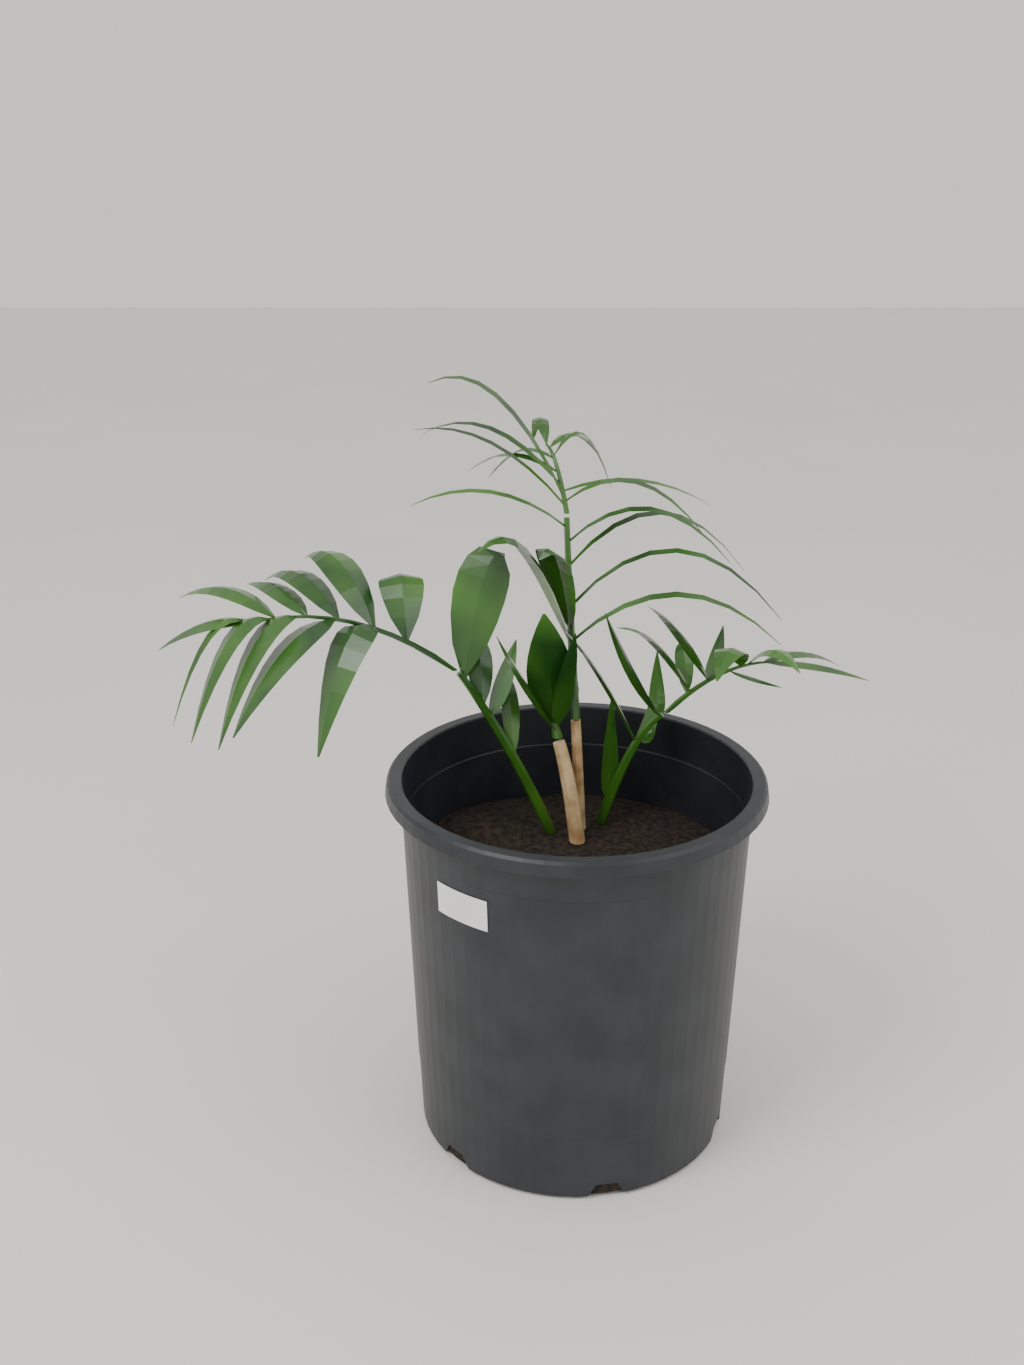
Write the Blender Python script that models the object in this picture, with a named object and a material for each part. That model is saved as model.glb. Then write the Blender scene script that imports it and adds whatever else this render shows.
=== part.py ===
"""A young dypsis palm in a black nursery pot: two canes, three fronds and a young split leaf.

Metres, +Z up. The origin is the centre of the pot's flat underside, and the front is -Y.
"""
import math

import bpy
import numpy as np
from mathutils.bvhtree import BVHTree

POT_HEIGHT = 0.2905
RIM_RADIUS = 0.140
SKIRT_RADIUS = 0.1414
SKIRT_HEIGHT = 0.0103
LIP_RADIUS = 0.129
BASE_RADIUS = 0.119
WALL_FLARE = 0.0388
WALL = 0.002
FLOOR = 0.003
FOOT_BAND_TOP = 0.0552
UPPER_BAND = 0.2547
BAND_STEP = 0.0005
SEGMENTS = 64
GAP = 0.0003

NOTCHES = 6
NOTCH_AZIMUTH = math.radians(10.5)
NOTCH_WIDE = 0.033
NOTCH_NARROW = 0.016
NOTCH_HEIGHT = 0.013
NOTCH_DEPTH = 0.014

SOIL_LEVEL = 0.215
SOIL_RINGS = 7

LABEL_AZIMUTH = math.radians(-40.5)
LABEL_WIDTH = 0.046
LABEL_BOTTOM = 0.222
LABEL_TOP = 0.246
LABEL_THICKNESS = 0.0005

TUBE_SIDES = 6
TUBE_STEPS = 10
LEAF_STEPS = 8
LEAF_THICKNESS = 0.012
LEAF_FOLD = 0.22

CANES = {
    "cane_thick": ((0.003, 0.038), (-0.015, 0.010, 0.080), 0.008, 0.0062, 0.0048),
    "cane_thin": ((0.006, 0.060), (-0.005, -0.005, 0.095), 0.002, 0.0045, 0.0038),
}

# Each leaflet: place along its stalk, tip from its base (across, away, up), arch, width.
LEFT_LOWER = [
    (0.33, (0.020, -0.010, 0.070), -0.020, 0.012),
    (0.42, (-0.005, 0.025, 0.060), 0.010, 0.014),
    (0.68, (0.020, 0.020, 0.055), 0.000, 0.018),
    (0.75, (-0.005, 0.025, 0.050), 0.010, 0.020),
    (0.95, (0.030, 0.020, 0.092), 0.030, 0.040),
    (0.96, (0.105, -0.060, -0.048), 0.060, 0.014),
]
LEFT_OUTER = [
    (0.23, (-0.010, 0.050, 0.015), 0.035, 0.034),
    (0.38, (-0.055, 0.045, 0.040), 0.025, 0.034),
    (0.55, (-0.060, 0.045, 0.015), 0.020, 0.028),
    (0.70, (-0.050, 0.045, 0.010), 0.010, 0.022),
    (0.85, (-0.075, 0.030, 0.005), 0.015, 0.024),
    (0.95, (-0.070, -0.005, -0.020), 0.010, 0.024),
    (0.98, (-0.055, -0.025, -0.070), 0.030, 0.012),
    (0.88, (-0.055, -0.040, -0.080), 0.030, 0.022),
    (0.75, (-0.055, -0.045, -0.085), 0.030, 0.026),
    (0.57, (-0.070, -0.055, -0.070), 0.020, 0.032),
    (0.38, (-0.040, -0.050, -0.080), 0.035, 0.036),
    (0.23, (0.000, -0.050, -0.105), 0.030, 0.036),
]
RIGHT_LOWER = [
    (0.12, (-0.070, -0.045, 0.060), 0.040, 0.012),
    (0.14, (0.000, 0.000, 0.090), -0.020, 0.014),
    (0.57, (-0.060, -0.025, 0.105), 0.010, 0.015),
    (0.60, (0.015, 0.020, 0.040), -0.015, 0.015),
    (0.95, (-0.045, -0.030, 0.095), -0.005, 0.018),
    (0.93, (0.000, 0.025, 0.045), -0.010, 0.013),
]
RIGHT_OUTER = [
    (0.23, (-0.060, -0.035, 0.065), 0.015, 0.019),
    (0.20, (-0.005, 0.020, 0.035), 0.010, 0.015),
    (0.40, (-0.050, -0.030, 0.070), 0.010, 0.021),
    (0.40, (0.015, 0.040, 0.030), -0.005, 0.012),
    (0.72, (-0.025, -0.055, 0.010), 0.020, 0.024),
    (0.78, (0.035, -0.030, 0.005), 0.015, 0.020),
    (0.95, (0.080, 0.000, -0.015), 0.005, 0.016),
    (0.93, (0.065, 0.030, -0.015), 0.010, 0.016),
    (0.60, (0.040, -0.010, -0.010), 0.000, 0.009),
]
TOP_LOWER = [
    (0.05, (0.140, 0.020, 0.095), 0.035, 0.009),
    (0.08, (-0.012, 0.005, 0.045), 0.000, 0.014),
    (0.35, (0.090, -0.050, 0.020), 0.030, 0.014),
    (0.42, (-0.070, -0.030, 0.085), 0.040, 0.030),
    (0.50, (-0.025, -0.025, 0.065), 0.030, 0.034),
    (0.45, (0.155, -0.020, 0.005), 0.040, 0.013),
    (0.62, (0.155, -0.030, 0.000), 0.050, 0.011),
    (0.80, (0.135, 0.020, -0.010), 0.045, 0.011),
    (0.90, (0.120, -0.020, -0.010), 0.035, 0.012),
    (0.96, (-0.115, -0.030, 0.025), 0.020, 0.011),
]
TOP_OUTER = [
    (0.06, (-0.110, -0.010, 0.060), 0.020, 0.010),
    (0.14, (-0.100, 0.000, 0.085), 0.035, 0.014),
    (0.25, (-0.105, 0.040, 0.030), 0.025, 0.010),
    (0.40, (-0.070, 0.060, -0.015), 0.015, 0.011),
    (0.60, (-0.050, 0.040, -0.025), 0.015, 0.010),
    (0.10, (0.105, -0.010, -0.025), 0.030, 0.012),
    (0.20, (0.115, 0.030, -0.020), 0.015, 0.010),
    (0.50, (0.065, -0.010, -0.040), 0.030, 0.011),
    (0.85, (0.040, 0.030, -0.015), 0.015, 0.012),
    (0.65, (0.045, 0.020, -0.030), 0.030, 0.008),
    (0.98, (-0.010, 0.050, -0.010), 0.020, 0.011),
]
SPLIT_LEAF = [
    (0.30, (-0.045, -0.020, 0.085), 0.000, 0.024),
    (0.50, (-0.010, -0.022, 0.100), 0.000, 0.036),
    (0.80, (0.014, -0.020, 0.080), 0.000, 0.018),
]

# Each frond: foot, tip from its foot, arch, thickness at foot and tip, leaflets.
FRONDS = {
    "leaf_split": ((-0.013, 0.048, 0.2990), (-0.003, 0.002, 0.014), 0.000,
                   0.0042, 0.0020, SPLIT_LEAF),
    "frond_left_stalk": ((-0.017, 0.054, 0.2153), (-0.070, -0.015, 0.140), 0.008,
                         0.0048, 0.0026, LEFT_LOWER),
    "frond_left": ((-0.0905, 0.0380, 0.3580), (-0.150, -0.025, 0.045), 0.020,
                   0.0026, 0.0009, LEFT_OUTER),
    "frond_right_stalk": ((0.023, 0.071, 0.2153), (0.045, -0.005, 0.095), 0.016,
                          0.0044, 0.0026, RIGHT_LOWER),
    "frond_right": ((0.0715, 0.0655, 0.3125), (0.075, -0.010, 0.045), 0.010,
                    0.0026, 0.0009, RIGHT_OUTER),
    "frond_top_stalk": ((0.001, 0.055, 0.3115), (-0.008, 0.025, 0.152), -0.010,
                        0.0036, 0.0022, TOP_LOWER),
    "frond_top": ((-0.0070, 0.0803, 0.4665), (-0.015, 0.030, 0.045), 0.010,
                  0.0021, 0.0010, TOP_OUTER),
}


def material(name, colour, roughness):
    """Give one plain finish."""
    finish = bpy.data.materials.new(name)
    finish.use_nodes = True
    shader = finish.node_tree.nodes["Principled BSDF"]
    shader.inputs["Base Color"].default_value = (*colour, 1)
    shader.inputs["Roughness"].default_value = roughness
    return finish


def new_object(name, points, faces, finish, smooth=True):
    """Make one object from points and faces."""
    mesh = bpy.data.meshes.new(name)
    mesh.from_pydata([tuple(p) for p in points], [], faces)
    mesh.update()
    if smooth:
        mesh.shade_smooth()
        mesh.set_sharp_from_angle(angle=math.radians(35))
    mesh.materials.append(finish)
    piece = bpy.data.objects.new(name, mesh)
    bpy.context.scene.collection.objects.link(piece)
    return piece


def arch_line(foot, reach, arch, steps):
    """A cubic curve from foot to foot + reach, its two handles lifted by the arch."""
    s = np.linspace(0, 1, steps + 1)[:, None]
    foot = np.array(foot)
    reach = np.array(reach)
    lift = np.array([0, 0, arch * 4 / 3])
    return (foot + 3 * (1 - s) ** 2 * s * (reach / 3 + lift)
            + 3 * (1 - s) * s ** 2 * (reach * 2 / 3 + lift) + s ** 3 * reach)


def rings_to_faces(rings, sides):
    """Faces of a closed skin over rings of points, with a fan-free cap at each end."""
    faces = []
    for ring in range(rings - 1):
        for side in range(sides):
            a = ring * sides + side
            b = ring * sides + (side + 1) % sides
            faces.append((a, b, b + sides, a + sides))
    faces.append(tuple(reversed(range(sides))))
    faces.append(tuple((rings - 1) * sides + side for side in range(sides)))
    return faces


def tube(name, foot, reach, arch, thick, thin, sides, steps, finish, flat_foot=False):
    """A round limb that tapers from thick to thin along an arched line."""
    line = arch_line(foot, reach, arch, steps)
    along = np.gradient(line, axis=0)
    along /= np.linalg.norm(along, axis=1)[:, None]
    if flat_foot:
        along[0] = (0, 0, 1)
    side = np.cross(along, (0.0, 1.0, 0.0))
    side /= np.linalg.norm(side, axis=1)[:, None]
    up = np.cross(along, side)
    turn = np.linspace(0, 2 * math.pi, sides, endpoint=False)
    radius = np.linspace(thick, thin, steps + 1)[:, None, None]
    points = line[:, None] + radius * (side[:, None] * np.cos(turn)[None, :, None]
                                       + up[:, None] * np.sin(turn)[None, :, None])
    return new_object(name, points.reshape(-1, 3), rings_to_faces(steps + 1, sides), finish)


def leaflet(name, base, reach, arch, width, finish):
    """A folded blade: widest before its middle, with a long drip tip."""
    line = arch_line(base, reach, arch, LEAF_STEPS)
    length = np.linalg.norm(np.diff(line, axis=0), axis=1).sum()
    along = np.gradient(line, axis=0)
    along /= np.linalg.norm(along, axis=1)[:, None]
    heading = np.array([reach[0], reach[1], 0.0])
    if np.linalg.norm(heading) < width:
        heading = np.array([0.0, 1.0, 0.0])
    across = np.cross(heading / np.linalg.norm(heading), (0.0, 0.0, 1.0))
    side = across - along * (along @ across)[:, None]
    side /= np.linalg.norm(side, axis=1)[:, None]
    up = np.cross(side, along)
    s = np.linspace(0, 1, LEAF_STEPS + 1)
    half = width / 2 * np.maximum(np.sin(np.pi * s ** 0.8) ** 0.8, 0.06)[:, None]
    thick = length * LEAF_THICKNESS / 2 * np.maximum(1 - s ** 3, 0.2)[:, None]
    fold = up * half * LEAF_FOLD
    points = np.stack([line + up * thick, line + side * half - fold,
                       line - up * thick, line - side * half - fold], axis=1)
    return new_object(name, points.reshape(-1, 3), rings_to_faces(LEAF_STEPS + 1, 4), finish)


def fuse(body, extras):
    """Join the extras to the body with one union, then remove them."""
    group = bpy.data.collections.new(body.name + "_leaflets")
    bpy.context.scene.collection.children.link(group)
    for extra in extras:
        group.objects.link(extra)
    union = body.modifiers.new("union", "BOOLEAN")
    union.operation = "UNION"
    union.solver = "MANIFOLD"
    union.operand_type = "COLLECTION"
    union.collection = group
    seen = body.evaluated_get(bpy.context.evaluated_depsgraph_get())
    joined = bpy.data.meshes.new_from_object(seen)
    body.modifiers.clear()
    body.data = joined
    for extra in extras:
        bpy.data.objects.remove(extra)
    bpy.data.collections.remove(group)


def surface_tree(piece):
    """The piece's surface, for finding what touches it."""
    return BVHTree.FromObject(piece, bpy.context.evaluated_depsgraph_get())


def make_frond(name, foot, reach, arch, thick, thin, leaflets, finish, standing):
    """A stalk with its leaflets fused on, leaving out any that would touch what stands."""
    stalk = tube(name, foot, reach, arch, thick, thin, TUBE_SIDES, TUBE_STEPS, finish,
                 flat_foot=True)
    line = arch_line(foot, reach, arch, 100)
    blades = []
    for place, tip, bow, width in leaflets:
        base = line[int(round(place * 100))]
        blade = leaflet(name + "_leaflet", base, tip, bow, width, finish)
        surface = surface_tree(blade)
        if any(surface.overlap(other) for other in standing):
            print("left out", name, place)
            bpy.data.objects.remove(blade)
        else:
            blades.append(blade)
    fuse(stalk, blades)
    standing.append(surface_tree(stalk))


def turned(name, profile, finish):
    """Turn a profile of (radius, height) about Z; it starts and ends on the axis."""
    turn = np.linspace(0, 2 * math.pi, SEGMENTS, endpoint=False)
    inner = profile[1:-1]
    points = [(0, 0, profile[0][1]), (0, 0, profile[-1][1])]
    for radius, height in inner:
        points += [(radius * math.cos(a), radius * math.sin(a), height) for a in turn]
    faces = []
    last = 2 + (len(inner) - 1) * SEGMENTS
    for side in range(SEGMENTS):
        after = (side + 1) % SEGMENTS
        faces.append((0, 2 + after, 2 + side))
        faces.append((1, last + side, last + after))
        for ring in range(len(inner) - 1):
            a = 2 + ring * SEGMENTS + side
            b = 2 + ring * SEGMENTS + after
            faces.append((a, b, b + SEGMENTS, a + SEGMENTS))
    return new_object(name, points, faces, finish)


def wall_radius(height):
    """Outer radius of the pot's wall at a height."""
    return BASE_RADIUS + WALL_FLARE * height


def make_pot(finish):
    """The pot: a tapered shell with a rolled rim, two bands and six foot notches."""
    under_rim = POT_HEIGHT - 0.003
    profile = [
        (0, 0),
        (BASE_RADIUS - 0.004, 0),
        (BASE_RADIUS - BAND_STEP, 0.003),
        (wall_radius(FOOT_BAND_TOP) - BAND_STEP, FOOT_BAND_TOP),
        (wall_radius(FOOT_BAND_TOP), FOOT_BAND_TOP + BAND_STEP),
        (wall_radius(UPPER_BAND), UPPER_BAND),
        (wall_radius(UPPER_BAND) + BAND_STEP, UPPER_BAND + BAND_STEP),
        (wall_radius(under_rim) + BAND_STEP, under_rim),
        (RIM_RADIUS - WALL, under_rim),
        (SKIRT_RADIUS - WALL, POT_HEIGHT - SKIRT_HEIGHT),
        (SKIRT_RADIUS, POT_HEIGHT - SKIRT_HEIGHT),
        (RIM_RADIUS, POT_HEIGHT - 0.002),
        (RIM_RADIUS - 0.002, POT_HEIGHT),
        (LIP_RADIUS + 0.001, POT_HEIGHT),
        (LIP_RADIUS, POT_HEIGHT - 0.001),
        (wall_radius(0.259) - WALL, 0.259),
        (wall_radius(0.259) - WALL - BAND_STEP, 0.258),
        (wall_radius(FLOOR) - WALL - BAND_STEP, FLOOR),
        (0, FLOOR),
    ]
    pot = turned("pot", profile, finish)
    for number in range(NOTCHES):
        cut_notch(pot, number)
    return pot


def cut_notch(pot, number):
    """Cut one drain notch, wider at the ground than above."""
    azimuth = NOTCH_AZIMUTH + number * 2 * math.pi / NOTCHES
    out = np.array([math.sin(azimuth), -math.cos(azimuth), 0])
    side = np.array([math.cos(azimuth), math.sin(azimuth), 0])
    levels = ((-0.002, NOTCH_WIDE / 2), (NOTCH_HEIGHT, NOTCH_NARROW / 2))
    points = []
    for height, half in levels:
        for radius, sign in ((1, -1), (1, 1), (0, 1), (0, -1)):
            reach = BASE_RADIUS + 0.01 if radius else BASE_RADIUS - NOTCH_DEPTH
            points.append(out * reach + side * sign * half + np.array([0, 0, height]))
    cutter = new_object("notch_cutter", points, rings_to_faces(2, 4), pot.data.materials[0])
    cutter.hide_render = True
    cutter.display_type = "WIRE"
    cut = pot.modifiers.new("notch", "BOOLEAN")
    cut.operation = "DIFFERENCE"
    cut.object = cutter


def make_soil(finish):
    """Potting mix that fills the pot: level round the stems, heaped at the left back."""
    def level(x, y):
        heap = math.exp(-((x + 0.075) ** 2 + (y - 0.060) ** 2) / 0.035 ** 2)
        ripple = 0.0015 * math.sin(170 * x) * math.sin(190 * y + 1)
        far = 1 - math.exp(-(x ** 2 + (y - 0.055) ** 2) / 0.045 ** 2)
        return SOIL_LEVEL + (0.010 * heap + min(ripple, 0)) * far - 0.0006
    turn = np.linspace(0, 2 * math.pi, SEGMENTS, endpoint=False)
    bottom = FLOOR + GAP
    foot = wall_radius(bottom) - WALL - BAND_STEP - GAP
    edge = wall_radius(SOIL_LEVEL) - WALL - BAND_STEP - 2 * GAP
    points = [(0, 0, bottom), (0, 0, level(0, 0))]
    points += [(foot * math.cos(a), foot * math.sin(a), bottom) for a in turn]
    for ring in range(SOIL_RINGS):
        radius = edge * (1 - ring / SOIL_RINGS)
        for a in turn:
            x = radius * math.cos(a)
            y = radius * math.sin(a)
            points.append((x, y, level(x, y)))
    faces = []
    last = 2 + SOIL_RINGS * SEGMENTS
    for side in range(SEGMENTS):
        after = (side + 1) % SEGMENTS
        faces.append((0, 2 + after, 2 + side))
        faces.append((1, last + side, last + after))
        for ring in range(SOIL_RINGS):
            a = 2 + ring * SEGMENTS + side
            b = 2 + ring * SEGMENTS + after
            faces.append((a, b, b + SEGMENTS, a + SEGMENTS))
    new_object("potting_mix", points, faces, finish)


def make_label(finish):
    """A thin blank label that follows the pot's wall."""
    columns = 8
    half = LABEL_WIDTH / 2 / wall_radius(LABEL_TOP)
    points = []
    for angle in np.linspace(LABEL_AZIMUTH + half, LABEL_AZIMUTH - half, columns + 1):
        for off, height in ((0, LABEL_BOTTOM), (LABEL_THICKNESS, LABEL_BOTTOM),
                            (LABEL_THICKNESS, LABEL_TOP), (0, LABEL_TOP)):
            radius = wall_radius(height) + GAP + off
            points.append((radius * math.sin(angle), -radius * math.cos(angle), height))
    new_object("label", points, rings_to_faces(columns + 1, 4), finish, smooth=False)


def main():
    """Clear the scene and make the plant and its pot."""
    for old in list(bpy.data.objects):
        bpy.data.objects.remove(old)
    pot_black = material("pot_black", (0.018, 0.021, 0.026), 0.42)
    pot = make_pot(pot_black)
    standing = [surface_tree(pot)]
    make_soil(material("potting_mix", (0.02, 0.014, 0.010), 0.95))
    make_label(material("label_white", (0.85, 0.85, 0.85), 0.5))
    cane_tan = material("cane_tan", (0.55, 0.38, 0.20), 0.6)
    for name, (foot, reach, arch, thick, thin) in CANES.items():
        cane = tube(name, (*foot, SOIL_LEVEL + GAP), reach, arch, thick, thin, 10,
                    TUBE_STEPS, cane_tan, flat_foot=True)
        standing.append(surface_tree(cane))
    leaf_green = material("leaf_green", (0.03, 0.14, 0.015), 0.35)
    for name, frond in FRONDS.items():
        make_frond(name, *frond, leaf_green, standing)


main()
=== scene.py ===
# %% [markdown]
# # A young dypsis palm in a nursery pot
# The real thing is a small feather-leaved palm with two canes, standing in a round black
# plastic pot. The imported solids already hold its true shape: the pot, the potting mix, the
# canes, and each frond with its leaflets. This lesson keeps those shapes, dresses them in
# procedural finishes, and sets up the light and the camera.

# %% Load the frame
import math

import bpy
import numpy as np
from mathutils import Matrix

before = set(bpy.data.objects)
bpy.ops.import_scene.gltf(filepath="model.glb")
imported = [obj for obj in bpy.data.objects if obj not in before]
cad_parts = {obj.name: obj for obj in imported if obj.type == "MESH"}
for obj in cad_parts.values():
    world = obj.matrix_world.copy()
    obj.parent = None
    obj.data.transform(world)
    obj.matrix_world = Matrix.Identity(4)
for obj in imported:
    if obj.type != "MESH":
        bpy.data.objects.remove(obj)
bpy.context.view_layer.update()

# %% [markdown]
# ## One recipe for every finish
# No surface here is one flat colour. Leaves drift between deep and yellow green, moulded
# plastic has faint clouds, and potting mix is dark with pale specks. An image could show
# this, but it would need a layout for every piece. Noise on Object coordinates needs none:
# it is a pattern in space that the surface cuts through. So one recipe takes two colours, the
# size of the pattern, the roughness, the depth of the grain and a clear coat.

# %% The recipe
DARK_BELOW = 0.35
LIGHT_ABOVE = 0.65
GRAIN_FINENESS = 12
GRAIN_DEPTH = 0.0008
COAT_ROUGHNESS = 0.2


def finish(name, dark, light, scale, roughness, bump, coat=0.0):
    """Two colours mixed by noise on Object coordinates, with a bump from finer noise."""
    made = bpy.data.materials.new(name)
    made.use_nodes = True
    nodes = made.node_tree.nodes
    links = made.node_tree.links
    shader = nodes["Principled BSDF"]
    place = nodes.new("ShaderNodeTexCoord")
    noise = nodes.new("ShaderNodeTexNoise")
    noise.inputs["Scale"].default_value = scale
    ramp = nodes.new("ShaderNodeValToRGB")
    ramp.color_ramp.elements[0].position = DARK_BELOW
    ramp.color_ramp.elements[0].color = (*dark, 1)
    ramp.color_ramp.elements[1].position = LIGHT_ABOVE
    ramp.color_ramp.elements[1].color = (*light, 1)
    grain = nodes.new("ShaderNodeTexNoise")
    grain.inputs["Scale"].default_value = scale * GRAIN_FINENESS
    lift = nodes.new("ShaderNodeBump")
    lift.inputs["Strength"].default_value = bump
    lift.inputs["Distance"].default_value = GRAIN_DEPTH
    links.new(place.outputs["Object"], noise.inputs["Vector"])
    links.new(place.outputs["Object"], grain.inputs["Vector"])
    links.new(noise.outputs["Fac"], ramp.inputs["Fac"])
    links.new(ramp.outputs["Color"], shader.inputs["Base Color"])
    links.new(grain.outputs["Fac"], lift.inputs["Height"])
    links.new(lift.outputs["Normal"], shader.inputs["Normal"])
    shader.inputs["Roughness"].default_value = roughness
    shader.inputs["Coat Weight"].default_value = coat
    shader.inputs["Coat Roughness"].default_value = COAT_ROUGHNESS
    return made


# %% [markdown]
# ## The finishes
# A leaf has a waxy skin, so it gets the only clear coat. The pot is satin black plastic with
# a slight blue cast. The potting mix is rough, with the finest pattern and the deepest grain.

# %% Leaf, pot, mix, cane and label
LEAF = finish("leaf_green", (0.010, 0.060, 0.006), (0.060, 0.190, 0.015), 14, 0.32, 0.15, 0.4)
POT = finish("pot_black", (0.014, 0.017, 0.022), (0.022, 0.026, 0.032), 30, 0.42, 0.08)
MIX = finish("potting_mix", (0.006, 0.004, 0.003), (0.050, 0.032, 0.020), 220, 0.95, 1.0)
CANE = finish("cane_tan", (0.42, 0.25, 0.11), (0.68, 0.50, 0.27), 60, 0.55, 0.4)
LABEL = finish("label_white", (0.80, 0.80, 0.80), (0.88, 0.88, 0.87), 40, 0.45, 0.03)
print("made", len(bpy.data.materials), "materials")

# %% [markdown]
# ## Dress the solids
# Each solid keeps its shape, and its material slots are given the finish that it has in life.

# %% One finish for each solid
LEAFY = ("leaf_split", "frond_left_stalk", "frond_left", "frond_right_stalk", "frond_right",
         "frond_top_stalk", "frond_top")
FINISHES = {"pot": POT, "potting_mix": MIX, "label": LABEL, "cane_thick": CANE,
            "cane_thin": CANE}
FINISHES.update({node: LEAF for node in LEAFY})

for node, material in FINISHES.items():
    piece = bpy.data.objects[node]
    if not piece.material_slots:
        piece.data.materials.append(material)
    for place in piece.material_slots:
        place.material = material
print("dressed", len(FINISHES), "solids")

# %% [markdown]
# ## The floor
# The pot stands on a plain pale floor, a single square that is wide enough to pass out of
# view at the sides. It isn't part of the object.

# %% Floor
FLOOR_SIZE = 8.0
FLOOR_DARK = (0.84, 0.82, 0.78)
FLOOR_LIGHT = (0.86, 0.84, 0.80)
half = FLOOR_SIZE / 2
floor_mesh = bpy.data.meshes.new("floor")
floor_mesh.from_pydata([(-half, -half, 0), (half, -half, 0), (half, half, 0), (-half, half, 0)],
                       [], [(0, 1, 2, 3)])
floor = bpy.data.objects.new("floor", floor_mesh)
floor_mesh.materials.append(finish("floor_pale", FLOOR_DARK, FLOOR_LIGHT, 3, 0.8, 0.02))
bpy.context.scene.collection.objects.link(floor)
print("floor", FLOOR_SIZE, "m a side")

# %% [markdown]
# ## Soft light
# Studio light comes from everywhere, so a warm white world fills the shadows. A large lamp at
# the left front shapes the pot, and a weaker one at the right keeps its far side readable.

# %% World and lamps
WORLD_COLOUR = (1.0, 0.98, 0.95, 1)
WORLD_STRENGTH = 0.9
LIGHT_AIM = (0, 0, 0.3)

world = bpy.data.worlds.new("studio")
world.use_nodes = True
world.node_tree.nodes["Background"].inputs["Color"].default_value = WORLD_COLOUR
world.node_tree.nodes["Background"].inputs["Strength"].default_value = WORLD_STRENGTH
bpy.context.scene.world = world


def soft_light(name, place, size, power):
    """A square area light at place, tilted by its slope to the aim and turned to face it."""
    data = bpy.data.lights.new(name, "AREA")
    data.size = size
    data.energy = power
    light = bpy.data.objects.new(name, data)
    light.location = place
    away = np.array(place) - np.array(LIGHT_AIM)
    light.rotation_euler = (math.atan2(math.hypot(away[0], away[1]), away[2]), 0,
                            math.atan2(away[0], -away[1]))
    bpy.context.scene.collection.objects.link(light)
    print(name, "lamp", size, "m wide,", power, "W")


soft_light("key", (-1.2, -1.0, 1.8), 1.0, 22)
soft_light("fill", (1.4, -0.8, 1.2), 1.4, 9)

# %% [markdown]
# ## Camera
# The ellipses of the rim and the foot give the view: the camera stands 1.1 m in front of the
# pot's middle, slightly to the left, and looks down by about 22 degrees.

# %% Camera
CAMERA_PLACE = (-0.0477, -1.098, 0.803)
CAMERA_PITCH = 0.381
LENS = 43.25
SENSOR = 36
data = bpy.data.cameras.new("camera")
data.lens = LENS
data.sensor_width = SENSOR
camera = bpy.data.objects.new("camera", data)
camera.location = CAMERA_PLACE
camera.rotation_euler = (math.pi / 2 - CAMERA_PITCH, 0, 0)
bpy.context.scene.collection.objects.link(camera)
bpy.context.scene.camera = camera
print("camera", LENS, "mm")
